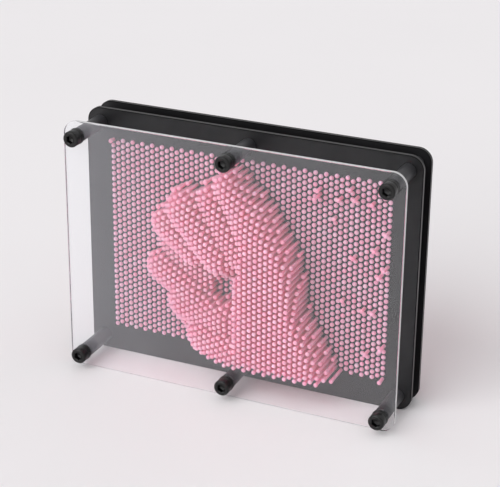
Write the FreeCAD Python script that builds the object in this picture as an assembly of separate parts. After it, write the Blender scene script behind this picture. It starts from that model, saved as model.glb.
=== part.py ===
import FreeCAD, Part
import math
import os

# Pin art impression toy: a clear cover and two perforated black plates on six
# standoffs, with a field of loose pins that takes the shape of what pushes it.
# Millimetres, +Z up. The toy stands on its long edge and looks towards -Y.
# The origin is on the ground, under the middle of the toy's width and depth.

# Sheets
SHEET_WIDTH = 200.0
SHEET_HEIGHT = 150.0
CORNER_RADIUS = 8.0
EDGE_CHAMFER = 0.4
COVER_THICKNESS = 2.5
FRONT_PLATE_THICKNESS = 3.0
REAR_PLATE_THICKNESS = 2.5
COVER_GAP = 25.0
PLATE_GAP = 10.0

# Pins: a flat-bottomed head with a tapered front on a straight shaft
SHAFT_RADIUS = 1.0
HEAD_RADIUS = 1.3
HEAD_TOP_RADIUS = 0.75
HEAD_RIM = 0.6
HEAD_HEIGHT = 1.4
SHAFT_LENGTH = 41.0
HEAD_CLEARANCE = 0.1
PIN_HOLE_RADIUS = 1.1

# Pin field: columns of holes, every second column half a pitch off
COLUMNS = 55
COLUMN_PITCH = 3.084
LONG_COLUMN_PINS = 35
PIN_PITCH = 3.391
FIELD_CENTRE_Z = 75.0
LEVELS = 20

# Standoffs
STANDOFF_SIDE_INSET = 8.25
STANDOFF_EDGE_INSET = 8.45
BOLT_RADIUS = 2.0
BOLT_HOLE_RADIUS = 2.2
SPACER_RADIUS = 4.2
SPACER_BORE_RADIUS = 2.1
WASHER_RADIUS = 4.7
WASHER_THICKNESS = 0.7
CAP_RADIUS = 4.6
CAP_LENGTH = 6.7
CAP_CHAMFER = 0.7
CAP_GROOVE_DEPTH = 0.35
CAP_GROOVE_WIDTH = 0.7
CAP_GROOVE_FROM_SEAT = 1.4
SOCKET_ACROSS_FLATS = 4.4
SOCKET_DEPTH = 3.6
NUT_RADIUS = 4.6
NUT_LENGTH = 5.0
NUT_CHAMFER = 0.7
NUT_BORE_RADIUS = 2.05
NUT_BORE_DEPTH = 4.0
BOLT_IN_NUT = 3.5

# Relief: what a fist pressed in from behind leaves, as rounded ridges. A ridge has
# its two ends (x, z), its half width at each end, the height of its crest at each
# end, and a power that squares its cross-section (2 is a plain ellipse).
INDEX_FINGER_AND_THUMB = [
    ((-6, 120), (7, 105), (11, 13.5), (18, 22), 2.3),
    ((7, 105), (18, 85), (13.5, 15.5), (22, 26), 2.6),
    ((18.5, 76), (20.5, 48), (18, 20.5), (27, 27), 3.0),
    ((20.5, 48), (30, 5), (20.5, 34), (27, 27), 3.2),
    ((14, 84), (10, 61), (9, 9.5), (38, 40), 3.0),
    ((10, 61), (13, 26), (9.5, 12), (40, 40), 3.0),
]
FINGERS_AND_PALM = [
    ((-33, 103), (-10, 79), (13, 11.5), (18, 23.5), 2.4),
    ((-17, 111), (3, 83), (10, 11), (17, 22), 2.4),
    ((-46, 91), (-28, 78), (11, 10), (12, 16), 2.2),
    ((-50, 63), (-31, 52), (11, 11), (10, 13), 2.2),
    ((-34, 44), (-10, 40), (13, 14), (12, 17), 2.2),
    ((-19, 27), (6, 16), (15, 20), (16, 26), 2.4),
    ((-29, 84), (-21, 43), (26, 24), (9, 8), 2.0),
]
HOLLOW_X = -11.0
HOLLOW_Z = 57.0
HOLLOW_RADIUS = 3.5
HOLLOW_EDGE_RADIUS = 9.0

# Single pins left standing out beside the fist: column, row, height
STRAY_PINS = [
    (0, 34, 3),
    (41, 30, 9),
    (41, 31, 5),
    (44, 27, 3),
    (45, 30, 5),
    (46, 13, 2.5),
    (47, 32, 5),
    (48, 21, 5),
    (48, 31, 6),
    (50, 12, 4),
    (51, 4, 5),
    (51, 30, 4),
    (52, 12, 5),
    (52, 23, 6),
    (53, 18, 6),
    (54, 0, 5),
    (54, 6, 7),
    (54, 20, 7),
    (54, 26, 6),
]

# Travel of a pin, from its head near the front plate to its head near the cover
TRAVEL = COVER_GAP - HEAD_HEIGHT - 2 * HEAD_CLEARANCE

# Depths, from the front to the back
CAP_FRONT_TO_COVER = CAP_LENGTH + WASHER_THICKNESS
DEPTH = CAP_FRONT_TO_COVER + COVER_THICKNESS + COVER_GAP - HEAD_CLEARANCE + SHAFT_LENGTH
COVER_Y = -DEPTH / 2 + CAP_FRONT_TO_COVER
COVER_BACK_Y = COVER_Y + COVER_THICKNESS
FRONT_PLATE_Y = COVER_BACK_Y + COVER_GAP
FRONT_PLATE_BACK_Y = FRONT_PLATE_Y + FRONT_PLATE_THICKNESS
REAR_PLATE_Y = FRONT_PLATE_BACK_Y + PLATE_GAP
REAR_PLATE_BACK_Y = REAR_PLATE_Y + REAR_PLATE_THICKNESS
HEAD_SEAT_Y = FRONT_PLATE_Y - HEAD_CLEARANCE

BACKWARD = FreeCAD.Vector(0, 1, 0)


def at(x, y, z):
    return FreeCAD.Vector(x, y, z)


def circle_wire(radius, x, y, z):
    return Part.Wire(Part.makeCircle(radius, at(x, y, z), BACKWARD))


def standoff_places():
    side = SHEET_WIDTH / 2 - STANDOFF_SIDE_INSET
    columns = (("left", -side), ("middle", 0.0), ("right", side))
    rows = (("top", SHEET_HEIGHT - STANDOFF_EDGE_INSET), ("bottom", STANDOFF_EDGE_INSET))
    return [(f"{row}_{column}", x, z) for row, z in rows for column, x in columns]


def pin_places():
    places = []
    for column in range(COLUMNS):
        x = (column - (COLUMNS - 1) / 2) * COLUMN_PITCH
        count = LONG_COLUMN_PINS - column % 2
        for row in range(count):
            z = FIELD_CENTRE_Z + (row - (count - 1) / 2) * PIN_PITCH
            places.append((column, row, x, z))
    return places


def outline(inset, y):
    left = inset - SHEET_WIDTH / 2
    right = -left
    low = inset
    high = SHEET_HEIGHT - inset
    radius = CORNER_RADIUS - inset
    diagonal = radius * (1 - math.sqrt(0.5))
    corners = ((right, high, 1, 1), (right, low, 1, -1), (left, low, -1, -1), (left, high, -1, 1))
    arcs = []
    for index, (x, z, side, up) in enumerate(corners):
        on_side = at(x, y, z - up * radius)
        on_edge = at(x - side * radius, y, z)
        middle = at(x - side * diagonal, y, z - up * diagonal)
        ends = (on_edge, on_side) if index % 2 == 0 else (on_side, on_edge)
        arcs.append((ends[0], middle, ends[1]))
    edges = []
    for index, arc in enumerate(arcs):
        following = arcs[(index + 1) % len(arcs)]
        edges.append(Part.Arc(*arc).toShape())
        edges.append(Part.makeLine(arc[2], following[0]))
    return Part.Wire(edges)


def sheet(front_y, thickness, hole_wires):
    """A flat sheet with rounded corners, chamfered outer edges and the holes cut through."""
    body = Part.Face([outline(0.0, front_y), *hole_wires]).extrude(BACKWARD * thickness)
    blank = Part.Face(outline(0.0, front_y)).extrude(BACKWARD * thickness)
    middle_y = front_y + thickness / 2
    keep = []
    for face_y in (front_y, front_y + thickness):
        sign = 1 if face_y > middle_y else -1
        full = outline(0.0, face_y - sign * EDGE_CHAMFER)
        small = outline(EDGE_CHAMFER, face_y)
        keep.append(Part.makeLoft([full, small], True))
    waist = Part.Face(outline(0.0, front_y + EDGE_CHAMFER))
    waist = waist.extrude(BACKWARD * (thickness - 2 * EDGE_CHAMFER))
    chamfered = waist.multiFuse(keep).removeSplitter()
    return body.cut(blank.cut(chamfered))


def bolt_holes(y):
    return [circle_wire(BOLT_HOLE_RADIUS, x, y, z) for _, x, z in standoff_places()]


def pin_holes(y):
    return [circle_wire(PIN_HOLE_RADIUS, x, y, z) for _, _, x, z in pin_places()]


def moved(shape, x, y, z):
    matrix = FreeCAD.Placement(at(x, y, z), FreeCAD.Rotation()).toMatrix()
    return shape.transformed(matrix, True)


def turned(points):
    """A solid of revolution about the Y axis, from (radius, depth) points."""
    profile = Part.Face(Part.makePolygon([at(r, d, 0) for r, d in [*points, points[0]]]))
    return profile.revolve(at(0, 0, 0), BACKWARD, 360)


def make_pin():
    """A pin with the underside of its head at y = 0 and its tail towards +Y."""
    return turned([
        (0, -HEAD_HEIGHT),
        (HEAD_TOP_RADIUS, -HEAD_HEIGHT),
        (HEAD_RADIUS, -HEAD_RIM),
        (HEAD_RADIUS, 0),
        (SHAFT_RADIUS, 0),
        (SHAFT_RADIUS, SHAFT_LENGTH),
        (0, SHAFT_LENGTH),
    ])


def hexagon_prism(across_flats, depth):
    corner = across_flats / math.sqrt(3)
    angles = [math.radians(30 + 60 * i) for i in range(7)]
    wire = Part.makePolygon([at(corner * math.cos(a), 0, corner * math.sin(a)) for a in angles])
    return Part.Face(wire).extrude(BACKWARD * depth)


def make_cap_screw(x, z):
    """A round head with a hexagon socket, and a bolt that runs back into the rear nut."""
    groove_end = CAP_LENGTH - CAP_GROOVE_FROM_SEAT
    groove_start = groove_end - CAP_GROOVE_WIDTH
    bolt_end = CAP_FRONT_TO_COVER + REAR_PLATE_BACK_Y - COVER_Y + BOLT_IN_NUT
    head = turned([
        (0, 0),
        (CAP_RADIUS - CAP_CHAMFER, 0),
        (CAP_RADIUS, CAP_CHAMFER),
        (CAP_RADIUS, groove_start),
        (CAP_RADIUS - CAP_GROOVE_DEPTH, groove_start + CAP_GROOVE_WIDTH / 2),
        (CAP_RADIUS, groove_end),
        (CAP_RADIUS, CAP_LENGTH),
        (BOLT_RADIUS, CAP_LENGTH),
        (BOLT_RADIUS, bolt_end),
        (0, bolt_end),
    ])
    screw = head.cut(hexagon_prism(SOCKET_ACROSS_FLATS, SOCKET_DEPTH))
    return moved(screw, x, COVER_Y - CAP_FRONT_TO_COVER, z)


def make_tube(radius, bore, length, x, y, z):
    return moved(turned([(bore, 0), (radius, 0), (radius, length), (bore, length)]), x, y, z)


def make_rear_nut(x, z):
    nut = turned([
        (0, NUT_BORE_DEPTH),
        (NUT_BORE_RADIUS, NUT_BORE_DEPTH),
        (NUT_BORE_RADIUS, 0),
        (NUT_RADIUS, 0),
        (NUT_RADIUS, NUT_LENGTH - NUT_CHAMFER),
        (NUT_RADIUS - NUT_CHAMFER, NUT_LENGTH),
        (0, NUT_LENGTH),
    ])
    return moved(nut, x, REAR_PLATE_BACK_Y, z)


def ridge_height(x, z, start, end, half_widths, crests, power):
    """Height at (x, z) of a ridge whose width and crest change evenly along its length."""
    run_x = end[0] - start[0]
    run_z = end[1] - start[1]
    along = ((x - start[0]) * run_x + (z - start[1]) * run_z) / (run_x ** 2 + run_z ** 2)
    along = min(max(along, 0.0), 1.0)
    half_width = half_widths[0] + (half_widths[1] - half_widths[0]) * along
    crest = crests[0] + (crests[1] - crests[0]) * along
    aside = math.hypot(x - start[0] - along * run_x, z - start[1] - along * run_z) / half_width
    if aside >= 1:
        return 0.0
    return crest * (1 - aside ** power) ** (1 / power)


def fist_height(x, z):
    """How far the fist pushes the pin at (x, z) forward."""
    raised = max(ridge_height(x, z, *ridge) for ridge in INDEX_FINGER_AND_THUMB)
    curled = max(ridge_height(x, z, *ridge) for ridge in FINGERS_AND_PALM)
    from_hollow = math.hypot(x - HOLLOW_X, z - HOLLOW_Z)
    rise = (from_hollow - HOLLOW_RADIUS) / (HOLLOW_EDGE_RADIUS - HOLLOW_RADIUS)
    rise = min(max(rise, 0.0), 1.0)
    curled = min(curled, TRAVEL) * rise * rise * (3 - 2 * rise)
    return min(max(raised, curled), TRAVEL)


def pins_by_level():
    """The pins as (x, z, distance forward), in groups pushed forward nearly alike."""
    step = TRAVEL / (LEVELS - 1)
    strays = {(column, row): height for column, row, height in STRAY_PINS}
    levels = [[] for _ in range(LEVELS)]
    for column, row, x, z in pin_places():
        forward = strays.get((column, row), fist_height(x, z))
        level = round(forward / step)
        levels[level].append((x, z, forward if level else 0.0))
    resting, *pushed = levels
    groups = {
        "pins_resting_left": [pin for pin in resting if pin[0] < 0],
        "pins_resting_right": [pin for pin in resting if pin[0] >= 0],
    }
    for level, pins in enumerate(pushed, start=1):
        groups[f"pins_level_{level:02d}"] = pins
    return groups


def save(shape, name):
    shape.exportStep(f"parts/{name}.step")


def main():
    os.makedirs("parts", exist_ok=True)
    save(sheet(COVER_Y, COVER_THICKNESS, bolt_holes(COVER_Y)), "front_cover")
    for name, y, thickness in (
        ("front_plate", FRONT_PLATE_Y, FRONT_PLATE_THICKNESS),
        ("back_plate", REAR_PLATE_Y, REAR_PLATE_THICKNESS),
    ):
        save(sheet(y, thickness, [*bolt_holes(y), *pin_holes(y)]), name)

    for place, x, z in standoff_places():
        save(make_cap_screw(x, z), f"cap_screw_{place}")
        washer = make_tube(
            WASHER_RADIUS, BOLT_HOLE_RADIUS, WASHER_THICKNESS, x, COVER_Y - WASHER_THICKNESS, z
        )
        save(washer, f"washer_{place}")
        save(make_tube(SPACER_RADIUS, SPACER_BORE_RADIUS, COVER_GAP, x, COVER_BACK_Y, z),
             f"long_spacer_{place}")
        save(make_tube(SPACER_RADIUS, SPACER_BORE_RADIUS, PLATE_GAP, x, FRONT_PLATE_BACK_Y, z),
             f"short_spacer_{place}")
        save(make_rear_nut(x, z), f"rear_nut_{place}")

    pin = make_pin()
    for name, places in pins_by_level().items():
        pins = [moved(pin, x, HEAD_SEAT_Y - forward, z) for x, z, forward in places]
        save(Part.makeCompound(pins), name)


main()
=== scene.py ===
import math
import random

import bpy
import numpy as np
from mathutils import Matrix, Vector


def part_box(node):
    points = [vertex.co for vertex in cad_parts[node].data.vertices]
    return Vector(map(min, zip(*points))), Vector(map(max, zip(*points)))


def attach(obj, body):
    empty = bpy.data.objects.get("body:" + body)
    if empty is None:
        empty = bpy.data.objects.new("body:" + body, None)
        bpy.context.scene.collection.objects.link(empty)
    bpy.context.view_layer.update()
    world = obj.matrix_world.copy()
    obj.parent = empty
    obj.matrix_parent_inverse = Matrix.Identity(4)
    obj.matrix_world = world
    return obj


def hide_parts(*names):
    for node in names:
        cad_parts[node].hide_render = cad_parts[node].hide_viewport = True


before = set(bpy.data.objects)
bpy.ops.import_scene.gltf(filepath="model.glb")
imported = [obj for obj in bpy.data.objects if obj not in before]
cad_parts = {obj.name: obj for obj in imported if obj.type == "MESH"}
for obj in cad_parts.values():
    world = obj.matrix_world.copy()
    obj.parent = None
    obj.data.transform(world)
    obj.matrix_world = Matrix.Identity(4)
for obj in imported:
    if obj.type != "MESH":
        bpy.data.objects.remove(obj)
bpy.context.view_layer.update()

scene = bpy.context.scene
chance = random.Random(7)

MM = 0.001
PLACES = [f"{row}_{column}" for row in ("top", "bottom") for column in ("left", "middle", "right")]
PIN_NODES = sorted(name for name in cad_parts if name.startswith("pins_"))

# Finer shapes of the pieces, in millimetres. A profile is a list of (radius, depth) that is turned
# about the Y axis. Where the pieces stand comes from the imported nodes.
PIN_SIDES = 16
# Depths count from the seat under the head
PIN_HEAD = [
    (0.0, -1.34), (0.24, -1.35), (0.36, -1.39), (0.7, -1.31), (1.0, -1.1), (1.22, -0.78),
    (1.3, -0.45), (1.3, -0.07), (1.22, 0.0), (1.0, 0.0),
]
PIN_SHAFT = 1.0
PIN_TAIL_ROUND = 0.2
PIN_LENGTH = 41.0
# A pin leans by part of its play and ends a little short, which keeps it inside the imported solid's box
PIN_PLAY = math.radians(0.09)
PIN_SHORT = 0.03
# Of the surfaces that make up a packed pin, only the shaft's side is longer than this
SHAFT_AT_LEAST = 20.0

COVER_CORNER = 8.0
COVER_RIM = 0.35
COVER_HOLE = 2.2
# Rim faces nearer to a bolt than this belong to its hole
HOLE_ZONE = 3.0

WASHER_RADIUS = 4.7
TUBE_RADIUS = 4.2
TUBE_BORE = 2.1
NUT_BORE = 2.05
CAP_RADIUS = 4.6
GROOVE_RADIUS = 4.25
BOLT_RADIUS = 2.0
CAP_ROUND = 0.12
SOCKET_MOUTH = 2.72
SOCKET_FLAT = 2.2
# The socket's rings as (depth, share of its full size), and the depth of its drilled floor
SOCKET_RINGS = ((0.35, 1.0), (3.1, 1.0), (3.6, 0.55))
SOCKET_FLOOR = 3.8

# The camera's place in metres and its turn in radians, fitted to the toy's corners and screws
CAMERA_AT = (0.3292, -0.7423, 0.4279)
CAMERA_YAW = 0.41735
CAMERA_PITCH = 0.40250
CAMERA_ROLL = 0.01101
CAMERA_LENS = 113.24
FLOOR_HALF = 8.0


# ---------------------------------------------------------------- materials


def new_material(name):
    material = bpy.data.materials.new(name)
    material.use_nodes = True
    nodes = material.node_tree.nodes
    nodes.clear()
    output = nodes.new("ShaderNodeOutputMaterial")
    shader = nodes.new("ShaderNodeBsdfPrincipled")
    material.node_tree.links.new(shader.outputs["BSDF"], output.inputs["Surface"])
    return material, shader


def add_noise(material, scale, detail=4.0, roughness=0.6, stretch=(1, 1, 1)):
    """A noise pattern in the object's own metres. Returns its factor output."""
    nodes, links = material.node_tree.nodes, material.node_tree.links
    coordinates = nodes.new("ShaderNodeTexCoord")
    mapping = nodes.new("ShaderNodeMapping")
    mapping.inputs["Scale"].default_value = stretch
    noise = nodes.new("ShaderNodeTexNoise")
    noise.inputs["Scale"].default_value = scale
    noise.inputs["Detail"].default_value = detail
    noise.inputs["Roughness"].default_value = roughness
    links.new(coordinates.outputs["Object"], mapping.inputs["Vector"])
    links.new(mapping.outputs["Vector"], noise.inputs["Vector"])
    return noise.outputs["Fac"]


def ramp(material, factor, stops):
    """Maps a factor through colour or grey stops, as (position, value) pairs."""
    node = material.node_tree.nodes.new("ShaderNodeValToRGB")
    elements = node.color_ramp.elements
    while len(elements) < len(stops):
        elements.new(0.5)
    for element, (position, value) in zip(elements, stops):
        element.position = position
        colour = value if hasattr(value, "__len__") else (value, value, value)
        element.color = (*colour, 1.0)
    material.node_tree.links.new(factor, node.inputs["Fac"])
    return node.outputs["Color"]


def add_bump(material, shader, height, strength, distance):
    bump = material.node_tree.nodes.new("ShaderNodeBump")
    bump.inputs["Strength"].default_value = strength
    bump.inputs["Distance"].default_value = distance
    material.node_tree.links.new(height, bump.inputs["Height"])
    material.node_tree.links.new(bump.outputs["Normal"], shader.inputs["Normal"])


def mixed(material, factor, first, second):
    node = material.node_tree.nodes.new("ShaderNodeMix")
    node.data_type = "RGBA"
    links = material.node_tree.links
    links.new(factor, node.inputs["Factor"])
    for socket, value in ((node.inputs["A"], first), (node.inputs["B"], second)):
        if hasattr(value, "is_output"):
            links.new(value, socket)
        else:
            socket.default_value = (*value, 1.0)
    return node.outputs["Result"]


def black_plastic(name, dark, light, roughness, grain, bump):
    """Moulded or cut black plastic: fine mottling, uneven gloss and a slight surface grain."""
    material, shader = new_material(name)
    links = material.node_tree.links
    broad = add_noise(material, 35.0)
    fine = add_noise(material, grain, detail=6.0)
    colour = ramp(material, broad, [(0.35, dark), (0.65, light)])
    links.new(colour, shader.inputs["Base Color"])
    low, high = roughness
    links.new(ramp(material, fine, [(0.3, low), (0.7, high)]), shader.inputs["Roughness"])
    shader.inputs["Specular IOR Level"].default_value = 0.36
    add_bump(material, shader, fine, bump, 0.00005)
    return material


def lay_over(material, factor, coat):
    """Mixes a second shader over all that the material has so far."""
    nodes, links = material.node_tree.nodes, material.node_tree.links
    output = next(node for node in nodes if node.type == "OUTPUT_MATERIAL")
    mix = nodes.new("ShaderNodeMixShader")
    share, under, over = mix.inputs
    links.new(factor, share)
    links.new(output.inputs["Surface"].links[0].from_socket, under)
    links.new(coat.outputs["BSDF"], over)
    links.new(mix.outputs["Shader"], output.inputs["Surface"])


def let_light_through(material, tint):
    """Lamps shine through the piece, tinted, instead of being stopped by it."""
    nodes = material.node_tree.nodes
    path = nodes.new("ShaderNodeLightPath")
    clear = nodes.new("ShaderNodeBsdfTransparent")
    clear.inputs["Color"].default_value = (*tint, 1.0)
    lay_over(material, path.outputs["Is Shadow Ray"], clear)


def pin_plastic(name, pale, deep):
    """Soft translucent pink plastic, each pin a touch different from its neighbours."""
    material, shader = new_material(name)
    links = material.node_tree.links
    geometry = material.node_tree.nodes.new("ShaderNodeNewGeometry")
    tone = ramp(material, geometry.outputs["Random Per Island"], [(0.0, deep), (1.0, pale)])
    cloud = add_noise(material, 900.0, detail=3.0)
    colour = mixed(material, ramp(material, cloud, [(0.4, 0.0), (0.8, 0.35)]), tone, pale)
    links.new(colour, shader.inputs["Base Color"])
    links.new(ramp(material, cloud, [(0.3, 0.34), (0.7, 0.5)]), shader.inputs["Roughness"])
    shader.inputs["IOR"].default_value = 1.47
    shader.inputs["Subsurface Weight"].default_value = 1.0
    shader.inputs["Subsurface Radius"].default_value = (1.0, 0.5, 0.6)
    shader.inputs["Subsurface Scale"].default_value = 0.006
    add_bump(material, shader, cloud, 0.12, 0.00004)
    let_light_through(material, (0.72, 0.2, 0.3))
    return material


def add_dust_and_painted_sheen(material, smear):
    """Fine scuffs and dust that scatter a little light, with a painted reflection of the studio light
    laid into the same whitish veil, thicker toward the left end.
    """
    nodes, links = material.node_tree.nodes, material.node_tree.links
    coordinates = nodes.new("ShaderNodeTexCoord")
    split = nodes.new("ShaderNodeSeparateXYZ")
    along = nodes.new("ShaderNodeMapRange")
    low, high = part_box("front_cover")
    along.inputs["From Min"].default_value = low.x
    along.inputs["From Max"].default_value = high.x
    links.new(coordinates.outputs["Object"], split.inputs["Vector"])
    links.new(split.outputs["X"], along.inputs["Value"])
    # The veil thins from the left end to the right: this grading is painted reflection
    spread = ramp(material, along.outputs["Result"], [(0.0, 0.085), (0.3, 0.036), (1.0, 0.01)])
    patches = ramp(material, smear, [(0.3, 0.0), (0.8, 0.3)])
    dust_and_sheen = nodes.new("ShaderNodeBsdfDiffuse")
    dust_and_sheen.inputs["Color"].default_value = (0.88, 0.87, 0.95, 1.0)
    lay_over(material, mixed(material, patches, spread, (0.015, 0.015, 0.015)), dust_and_sheen)


def clear_acrylic():
    material, shader = new_material("clear_acrylic")
    smear = add_noise(material, 28.0, detail=5.0, stretch=(1.0, 1.0, 0.45))
    gloss = ramp(material, smear, [(0.45, 0.0), (0.75, 0.035)])
    material.node_tree.links.new(gloss, shader.inputs["Roughness"])
    shader.inputs["Base Color"].default_value = (0.97, 0.98, 0.985, 1.0)
    shader.inputs["Transmission Weight"].default_value = 1.0
    shader.inputs["IOR"].default_value = 1.49
    # A whitish veil of dust and painted reflection over the sheet
    add_dust_and_painted_sheen(material, smear)
    let_light_through(material, (0.85, 0.84, 0.85))
    return material


def acrylic_rim_painted_highlight():
    """The flame-polished rim with a painted highlight: a whitish finish that stands in for the light
    gathered inside the sheet, given to the top and right rims only.
    """
    material, shader = new_material("acrylic_rim_painted_highlight")
    grain = add_noise(material, 420.0, detail=4.0, stretch=(1.0, 0.1, 1.0))
    links = material.node_tree.links
    links.new(ramp(material, grain, [(0.3, (0.86, 0.87, 0.88)), (0.7, (0.95, 0.955, 0.96))]),
              shader.inputs["Base Color"])
    links.new(ramp(material, grain, [(0.3, 0.1), (0.7, 0.28)]), shader.inputs["Roughness"])
    shader.inputs["Transmission Weight"].default_value = 0.35
    shader.inputs["IOR"].default_value = 1.49
    add_bump(material, shader, grain, 0.2, 0.00003)
    return material


PLATE = black_plastic("plate_black", (0.007, 0.007, 0.008), (0.012, 0.012, 0.013),
                      roughness=(0.3, 0.42), grain=2600.0, bump=0.25)
CAP = black_plastic("cap_black", (0.003, 0.003, 0.003), (0.006, 0.006, 0.006),
                    roughness=(0.24, 0.38), grain=3200.0, bump=0.3)
WASHER = black_plastic("washer_black", (0.008, 0.008, 0.008), (0.014, 0.014, 0.014),
                       roughness=(0.45, 0.6), grain=3000.0, bump=0.3)
SPACER = black_plastic("spacer_grey", (0.028, 0.028, 0.031), (0.044, 0.044, 0.048),
                       roughness=(0.32, 0.46), grain=2400.0, bump=0.3)
PINK = pin_plastic("pin_pink", pale=(1.0, 0.40, 0.52), deep=(0.98, 0.30, 0.42))
ACRYLIC = clear_acrylic()
# The cover's rim finish, a painted highlight for its top and right edges
ACRYLIC_RIM_PAINTED_HIGHLIGHT = acrylic_rim_painted_highlight()


# ---------------------------------------------------------------- meshes


def lathe(profile, sides):
    """Vertices and faces of a profile of (radius, depth) turned about the Y axis."""
    vertices, faces, rings = [], [], []
    for radius, depth in profile:
        if radius == 0:
            rings.append([len(vertices)])
            vertices.append((0.0, depth, 0.0))
            continue
        rings.append(list(range(len(vertices), len(vertices) + sides)))
        for side in range(sides):
            turn = 2 * math.pi * side / sides
            vertices.append((radius * math.cos(turn), depth, radius * math.sin(turn)))
    for ring, following in zip(rings, rings[1:]):
        for side in range(sides):
            after = (side + 1) % sides
            quad = [
                ring[side % len(ring)],
                ring[after % len(ring)],
                following[after % len(following)],
                following[side % len(following)],
            ]
            corners = list(dict.fromkeys(quad))
            if len(corners) > 2:
                faces.append(corners[::-1])
    return vertices, faces


def make_piece(name, vertices, faces, material, smooth_angle=40.0):
    """A smooth mesh object that keeps edges sharper than an angle in degrees."""
    mesh = bpy.data.meshes.new(name)
    mesh.from_pydata([tuple(v) for v in vertices], [], faces)
    mesh.validate()
    mesh.materials.append(material)
    mesh.shade_smooth()
    mesh.set_sharp_from_angle(angle=math.radians(smooth_angle))
    piece = bpy.data.objects.new(name, mesh)
    scene.collection.objects.link(piece)
    return piece


def stands_for(piece, node, body):
    """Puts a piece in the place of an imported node, which it hides, and moves it with a body."""
    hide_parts(node)
    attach(piece, body)


def turned_piece(name, node, profile, sides, material):
    """A turned piece about the middle of its node, with depths counted from the node's front."""
    low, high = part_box(node)
    centre = Vector(((low.x + high.x) / 2, low.y, (low.z + high.z) / 2))
    vertices, faces = lathe(profile, sides)
    placed = [Vector(v) * MM + centre for v in vertices]
    piece = make_piece(name, placed, faces, material)
    stands_for(piece, node, "toy_frame")


def rounded_outline(half_width, low, high, radius, steps):
    """The (x, z) points of an upright rectangle with round corners."""
    points = []
    middles = ((1, 1, 0), (-1, 1, 90), (-1, -1, 180), (1, -1, 270))
    for side, up, start in middles:
        x = side * (half_width - radius)
        z = high - radius if up > 0 else low + radius
        for step in range(steps + 1):
            turn = math.radians(start + 90 * step / steps)
            points.append((x + radius * math.cos(turn), z + radius * math.sin(turn)))
    return points


def round_outline(x, z, radius, steps):
    """The (x, z) points of a circle."""
    turns = [2 * math.pi * step / steps for step in range(steps)]
    return [(x + radius * math.cos(turn), z + radius * math.sin(turn)) for turn in turns]


def cover_mesh(low, high, bolts):
    """A flat outline with holes, given its thickness and round rims, and stood upright."""
    rim = COVER_RIM * MM
    loops = [rounded_outline(high.x, low.z, high.z, COVER_CORNER * MM, 20)]
    loops += [round_outline(x, z, COVER_HOLE * MM, 48) for x, z in bolts]
    curve = bpy.data.curves.new("cover_outline", "CURVE")
    curve.dimensions = "2D"
    curve.fill_mode = "BOTH"
    curve.extrude = (high.y - low.y) / 2 - rim
    curve.bevel_depth = rim
    curve.bevel_resolution = 3
    curve.offset = -rim
    for loop in loops:
        spline = curve.splines.new("POLY")
        spline.points.add(len(loop) - 1)
        for point, (x, z) in zip(spline.points, loop):
            point.co = (x, z, 0.0, 1.0)
        spline.use_cyclic_u = True
    source = bpy.data.objects.new("cover_outline", curve)
    scene.collection.objects.link(source)
    bpy.context.view_layer.update()
    finished = source.evaluated_get(bpy.context.evaluated_depsgraph_get())
    mesh = bpy.data.meshes.new_from_object(finished)
    bpy.data.objects.remove(source)
    mesh.name = "cover_sheet"
    mesh.transform(Matrix((
        (1, 0, 0, 0),
        (0, 0, -1, (low.y + high.y) / 2),
        (0, 1, 0, 0),
        (0, 0, 0, 1),
    )))
    return mesh


def cover_piece():
    """The clear sheet with rounded corners, softly rounded rims and six bolt holes."""
    low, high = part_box("front_cover")
    bolts = []
    for place in PLACES:
        washer_low, washer_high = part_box(f"washer_{place}")
        bolts.append(((washer_low.x + washer_high.x) / 2, (washer_low.z + washer_high.z) / 2))
    mesh = cover_mesh(low, high, bolts)
    mesh.materials.clear()
    mesh.materials.append(ACRYLIC)
    mesh.materials.append(ACRYLIC_RIM_PAINTED_HIGHLIGHT)
    # Rim faces on the top and right sides, away from the bolt holes, take the whitish rim finish: a
    # painted highlight along those two edges
    for face in mesh.polygons:
        from_bolt = min(math.hypot(face.center.x - x, face.center.z - z) for x, z in bolts)
        on_rim = abs(face.normal.y) < 0.5 and from_bolt > HOLE_ZONE * MM
        if on_rim and face.normal.x + face.normal.z > 0.6:
            face.material_index = 1
    mesh.shade_smooth()
    mesh.set_sharp_from_angle(angle=math.radians(35))
    piece = bpy.data.objects.new("cover_sheet", mesh)
    scene.collection.objects.link(piece)
    stands_for(piece, "front_cover", "toy_frame")


def soft_corner(before, corner, after, size, steps=3):
    """Points of a small round that takes the place of a profile's corner."""
    corner = Vector(corner)
    start = corner + (Vector(before) - corner).normalized() * size
    end = corner + (Vector(after) - corner).normalized() * size
    points = []
    for step in range(steps + 1):
        t = step / steps
        points.append(tuple(start * (1 - t) ** 2 + corner * 2 * t * (1 - t) + end * t ** 2))
    return points


def softened(profile, size):
    """A profile with every corner rounded, apart from its two ends."""
    points = [profile[0]]
    for before, corner, after in zip(profile, profile[1:], profile[2:]):
        points.extend(soft_corner(before, corner, after, size))
    points.append(profile[-1])
    return points


def add_socket(vertices, faces, rim):
    """Adds a round mouth that narrows from the rim into a hexagon with a drilled floor."""
    sides = len(rim)
    rings = [rim]
    for depth, share in SOCKET_RINGS:
        ring = []
        for side in range(sides):
            turn = 2 * math.pi * side / sides
            from_flat = (turn + math.pi / 6) % (math.pi / 3) - math.pi / 6
            radius = share * SOCKET_FLAT / math.cos(from_flat)
            ring.append(len(vertices))
            vertices.append((radius * math.cos(turn), depth, radius * math.sin(turn)))
        rings.append(ring)
    for ring, following in zip(rings, rings[1:]):
        for side in range(sides):
            after = (side + 1) % sides
            faces.append([ring[side], ring[after], following[after], following[side]])
    floor = len(vertices)
    vertices.append((0.0, SOCKET_FLOOR, 0.0))
    faces.extend([rings[-1][side], rings[-1][(side + 1) % sides], floor] for side in range(sides))


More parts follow.
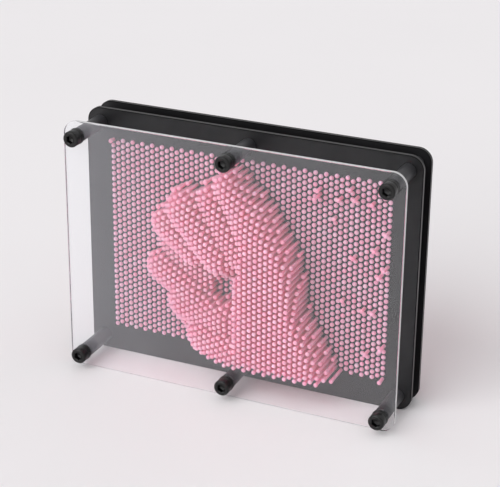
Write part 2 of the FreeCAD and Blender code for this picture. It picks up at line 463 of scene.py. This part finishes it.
def cap_piece(place):
    """A barrel cap with a chamfered rim, a turned groove and a hexagon socket, on its bolt."""
    node = f"cap_screw_{place}"
    low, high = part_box(node)
    washer_low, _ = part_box(f"washer_{place}")
    length = (washer_low.y - low.y) / MM
    bolt_end = (high.y - low.y) / MM
    sides = 72
    outside = softened([
        (SOCKET_MOUTH, 0.0), (3.9, 0.0), (CAP_RADIUS, 0.7),
        (CAP_RADIUS, length - 2.1), (GROOVE_RADIUS, length - 1.9),
        (GROOVE_RADIUS, length - 1.6), (CAP_RADIUS, length - 1.4),
        (CAP_RADIUS, length), (BOLT_RADIUS, length),
    ], CAP_ROUND)
    bolt = [(BOLT_RADIUS, length), (BOLT_RADIUS, bolt_end - 0.5), (1.5, bolt_end), (0.0, bolt_end)]
    vertices, faces = lathe(outside + bolt, sides)
    add_socket(vertices, faces, rim=list(range(sides)))
    centre = Vector(((low.x + high.x) / 2, low.y, (low.z + high.z) / 2))
    placed = [Vector(v) * MM + centre for v in vertices]
    piece = make_piece(f"cap_{place}", placed, faces, CAP, 30)
    stands_for(piece, node, "toy_frame")


def ring_profile(bore, radius, length, chamfer):
    """A tube or washer with all four rims chamfered."""
    return [
        (bore, chamfer), (bore + chamfer, 0.0), (radius - chamfer, 0.0), (radius, chamfer),
        (radius, length - chamfer), (radius - chamfer, length), (bore + chamfer, length),
        (bore, length - chamfer), (bore, chamfer),
    ]


def nut_profile():
    """A blind nut with a domed end, open toward the bolt."""
    return [
        (0.0, 4.0), (NUT_BORE, 4.0), (NUT_BORE, 0.25), (2.3, 0.0), (4.45, 0.0), (CAP_RADIUS, 0.15),
        (CAP_RADIUS, 3.9), (4.5, 4.3), (4.2, 4.68), (3.7, 4.92), (3.1, 5.0), (0.0, 5.0),
    ]


# The depth halfway through both plates, about which a pin leans
GUIDE_Y = (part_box("front_plate")[0].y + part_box("back_plate")[1].y) / 2


def pin_places(node):
    """The pins of a node as (x, z, depth of the tail's end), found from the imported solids."""
    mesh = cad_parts[node].data
    points = np.zeros(len(mesh.vertices) * 3)
    mesh.vertices.foreach_get("co", points)
    points = points.reshape(-1, 3)
    edges = np.zeros(len(mesh.edges) * 2, dtype=int)
    mesh.edges.foreach_get("vertices", edges)
    starts, ends = edges.reshape(-1, 2).T
    # Every vertex takes the lowest label next to it until each joined surface has a single one
    labels = np.arange(len(points))
    while True:
        spread = labels.copy()
        np.minimum.at(spread, starts, labels[ends])
        np.minimum.at(spread, ends, labels[starts])
        if (spread == labels).all():
            break
        labels = spread
    order = np.argsort(labels, kind="stable")
    surfaces = np.split(points[order], np.flatnonzero(np.diff(labels[order])) + 1)
    places = []
    for surface in surfaces:
        low, high = surface.min(0), surface.max(0)
        if high[1] - low[1] > SHAFT_AT_LEAST * MM:
            places.append(((low[0] + high[0]) / 2, (low[2] + high[2]) / 2, high[1]))
    return sorted(places)


def pins_piece(node):
    """All pins of a node with domed heads, each with a little of the play that its holes allow."""
    end = PIN_LENGTH - PIN_SHORT
    tail = [(PIN_SHAFT, end - PIN_TAIL_ROUND), (PIN_SHAFT - PIN_TAIL_ROUND, end), (0.0, end)]
    profile = PIN_HEAD + tail
    base, base_faces = lathe(profile, PIN_SIDES)
    base = np.array(base) * MM
    vertices, faces = [], []
    for x, z, tail_y in pin_places(node):
        seat_y = tail_y - PIN_LENGTH * MM
        turn = Matrix.Rotation(chance.uniform(0, 2 * math.pi), 3, "Y")
        tilt = Matrix.Rotation(chance.uniform(-PIN_PLAY, PIN_PLAY), 3, "X")
        lean = Matrix.Rotation(chance.uniform(-PIN_PLAY, PIN_PLAY), 3, "Z")
        whole = np.array(tilt @ lean @ turn)
        pivot = np.array((0.0, GUIDE_Y - seat_y, 0.0))
        spun = (base - pivot) @ whole.T + pivot + np.array((x, seat_y, z))
        start = len(vertices)
        vertices.extend(map(tuple, spun))
        faces.extend([start + corner for corner in face] for face in base_faces)
    piece = make_piece(f"moulded_{node}", vertices, faces, PINK, 50)
    stands_for(piece, node, node)


cover_piece()
for place in PLACES:
    cap_piece(place)
    low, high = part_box(f"washer_{place}")
    turned_piece(f"ring_{place}", f"washer_{place}",
                 ring_profile(COVER_HOLE, WASHER_RADIUS, (high.y - low.y) / MM, 0.15),
                 64, WASHER)
    for kind in ("long", "short"):
        node = f"{kind}_spacer_{place}"
        low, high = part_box(node)
        turned_piece(f"{kind}_tube_{place}", node,
                     ring_profile(TUBE_BORE, TUBE_RADIUS, (high.y - low.y) / MM, 0.25),
                     64, SPACER)
    turned_piece(f"nut_{place}", f"rear_nut_{place}", nut_profile(), 64, CAP)
for node in PIN_NODES:
    pins_piece(node)
for node in ("front_plate", "back_plate"):
    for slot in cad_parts[node].material_slots:
        slot.material = PLATE


# ---------------------------------------------------------------- floor, light and camera


def make_floor():
    mesh = bpy.data.meshes.new("floor")
    corners = [(x * FLOOR_HALF, y * FLOOR_HALF, 0) for x, y in ((-1, -1), (1, -1), (1, 1), (-1, 1))]
    mesh.from_pydata(corners, [], [(0, 1, 2, 3)])
    floor = bpy.data.objects.new("floor", mesh)
    scene.collection.objects.link(floor)
    material, shader = new_material("pale_floor")
    grain = add_noise(material, 3.0, detail=2.0)
    colour = ramp(material, grain, [(0.3, (0.845, 0.83, 0.84)), (0.7, (0.86, 0.845, 0.855))])
    material.node_tree.links.new(colour, shader.inputs["Base Color"])
    shader.inputs["Roughness"].default_value = 0.55
    shader.inputs["Specular IOR Level"].default_value = 0.25
    mesh.materials.append(material)


def soft_sun(name, toward, strength, spread):
    """A wide, far light, which lights the floor evenly."""
    light = bpy.data.lights.new(name, "SUN")
    light.energy = strength
    light.angle = spread
    lamp = bpy.data.objects.new(name, light)
    lamp.rotation_euler = Vector(toward).to_track_quat("Z", "Y").to_euler()
    scene.collection.objects.link(lamp)


def make_world():
    world = bpy.data.worlds.new("studio")
    scene.world = world
    world.use_nodes = True
    background = world.node_tree.nodes["Background"]
    background.inputs["Color"].default_value = (1.0, 0.985, 0.995, 1.0)
    background.inputs["Strength"].default_value = 0.66


def make_camera():
    """Looks ahead by yaw and pitch, then turns about the line of sight by roll."""
    level = math.cos(CAMERA_PITCH)
    ahead = Vector((-math.sin(CAMERA_YAW) * level, math.cos(CAMERA_YAW) * level, -math.sin(CAMERA_PITCH)))
    right = ahead.cross(Vector((0, 0, 1))).normalized()
    up = right.cross(ahead)
    turned_right = right * math.cos(CAMERA_ROLL) + up * math.sin(CAMERA_ROLL)
    turned_up = up * math.cos(CAMERA_ROLL) - right * math.sin(CAMERA_ROLL)
    data = bpy.data.cameras.new("camera")
    data.lens = CAMERA_LENS
    data.sensor_width = 36.0
    data.clip_start = 0.05
    data.clip_end = 60.0
    camera = bpy.data.objects.new("camera", data)
    rotation = Matrix((turned_right, turned_up, -ahead)).transposed()
    camera.matrix_world = Matrix.Translation(CAMERA_AT) @ rotation.to_4x4()
    scene.collection.objects.link(camera)
    scene.camera = camera


make_floor()
make_world()
soft_sun("key", toward=(-0.38, -0.78, 0.52), strength=2.1, spread=1.1)
make_camera()
scene.view_settings.view_transform = "Standard"
